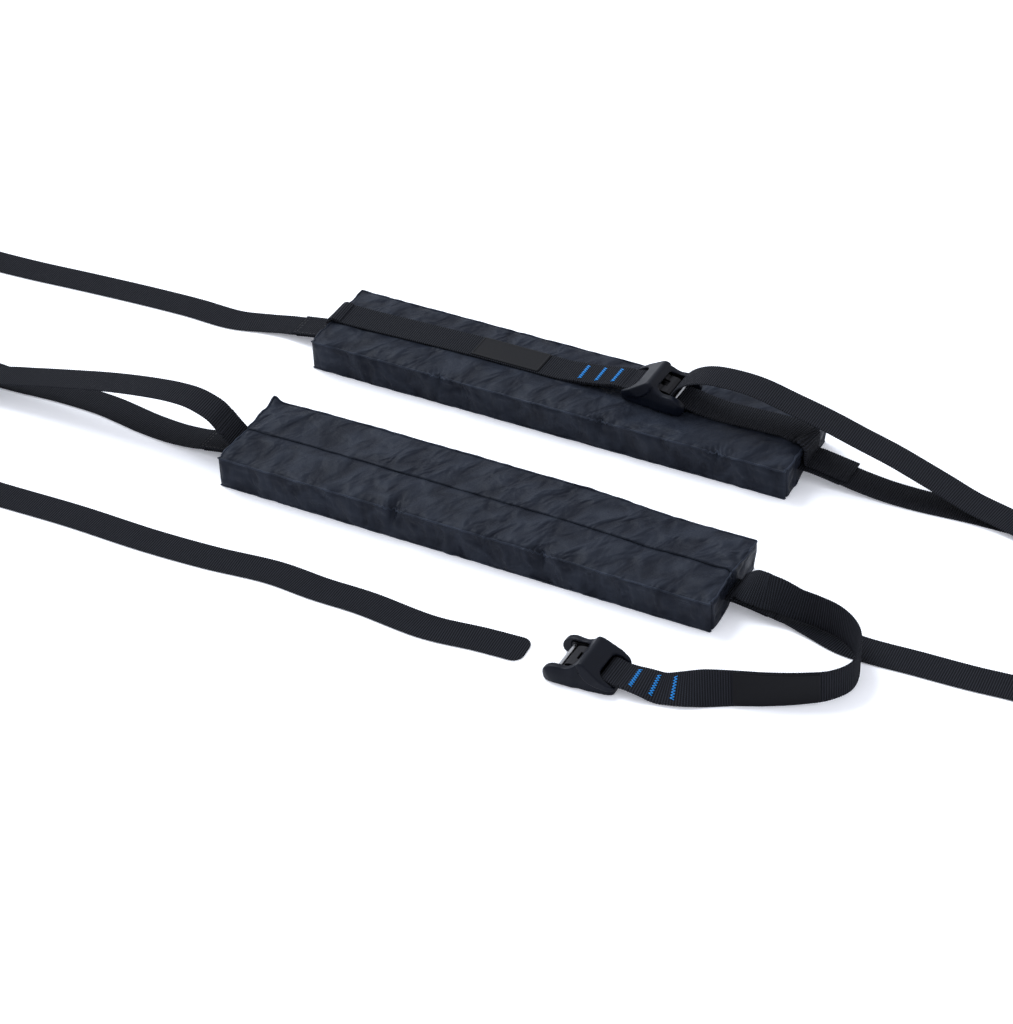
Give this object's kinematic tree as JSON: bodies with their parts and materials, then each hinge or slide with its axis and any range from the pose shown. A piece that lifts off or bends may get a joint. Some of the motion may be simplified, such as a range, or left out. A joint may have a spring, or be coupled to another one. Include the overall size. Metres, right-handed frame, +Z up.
{
  "type": "soft roof rack",
  "caption": "Pair of padded fabric bars for a car roof, with webbing straps and cam buckles in rubber boots, laid out on a floor with spare webbing coiled.",
  "frame": {"origin": "on the floor, midway between the two pads' outer ends along X and midway between their outer long sides along Y", "axes": "+X along the pads, +Y from the front pad to the rear pad, +Z up off the floor"},
  "size_m": [1.8634, 0.5954, 0.088],
  "materials": {
    "pad_fabric": "coated woven nylon",
    "foam": "closed-cell foam",
    "webbing": "ribbed polypropylene webbing",
    "label": "moulded soft rubber",
    "thread": "bonded polyester thread",
    "zinc": "zinc plated steel and die-cast zinc",
    "steel": "bright plated steel",
    "boot_rubber": "moulded matt rubber",
    "tie": "hook and loop tape"
  },
  "bodies": {
    "root": {"front_cover": "pad_fabric", "front_foam": "foam", "front_roof_web": "webbing", "front_load_root": "webbing", "front_buckle_root": "webbing", "rear_cover": "pad_fabric", "rear_foam": "foam", "rear_roof_web": "webbing", "rear_load_root": "webbing", "rear_buckle_root": "webbing", "front_buckle_strap": "webbing", "rear_buckle_strap": "webbing", "front_label": "label", "rear_label": "label", "front_bar_tack_1": "thread", "front_bar_tack_2": "thread", "front_bar_tack_3": "thread", "rear_bar_tack_1": "thread", "rear_bar_tack_2": "thread", "rear_bar_tack_3": "thread", "front_buckle_frame": "zinc", "front_buckle_rear_bar": "steel", "front_buckle_front_bar": "steel", "front_buckle_pin": "steel", "front_buckle_spring": "steel", "front_buckle_boot": "boot_rubber", "front_buckle_loop": "webbing", "rear_buckle_frame": "zinc", "rear_buckle_rear_bar": "steel", "rear_buckle_front_bar": "steel", "rear_buckle_pin": "steel", "rear_buckle_spring": "steel", "rear_buckle_boot": "boot_rubber", "rear_buckle_loop": "webbing", "front_load_strap": "webbing", "front_load_hank": "webbing", "front_load_tie": "tie", "front_load_tail": "webbing", "rear_load_strap": "webbing", "rear_load_coil": "webbing", "rear_load_tie": "tie", "front_roof_strap_left": "webbing", "front_roof_left_coil": "webbing", "front_roof_left_tie": "tie", "front_roof_strap_right": "webbing", "front_roof_right_coil": "webbing", "front_roof_right_tie": "tie", "rear_roof_strap_left": "webbing", "rear_roof_left_coil": "webbing", "rear_roof_left_tie": "tie", "rear_roof_strap_right": "webbing", "rear_roof_right_coil": "webbing", "rear_roof_right_tie": "tie"},
    "rear_cam": {"rear_buckle_cam": "zinc"},
    "front_cam": {"front_buckle_cam": "zinc"}
  },
  "joints": [
    {"name": "rear_cam_pivot", "type": "hinge", "parent": "root", "child": "rear_cam", "pos_m": [0.109, 0.128, 0.0534], "axis": [0, -1, 0], "range_deg": [0, 25], "stiffness_Nm_per_rad": 0.02, "springref_deg": -17.19},
    {"name": "front_cam_pivot", "type": "hinge", "parent": "root", "child": "front_cam", "pos_m": [0.216, -0.283, 0.0148], "axis": [0, 1, 0], "range_deg": [0, 25], "stiffness_Nm_per_rad": 0.02, "springref_deg": -17.19}
  ]
}
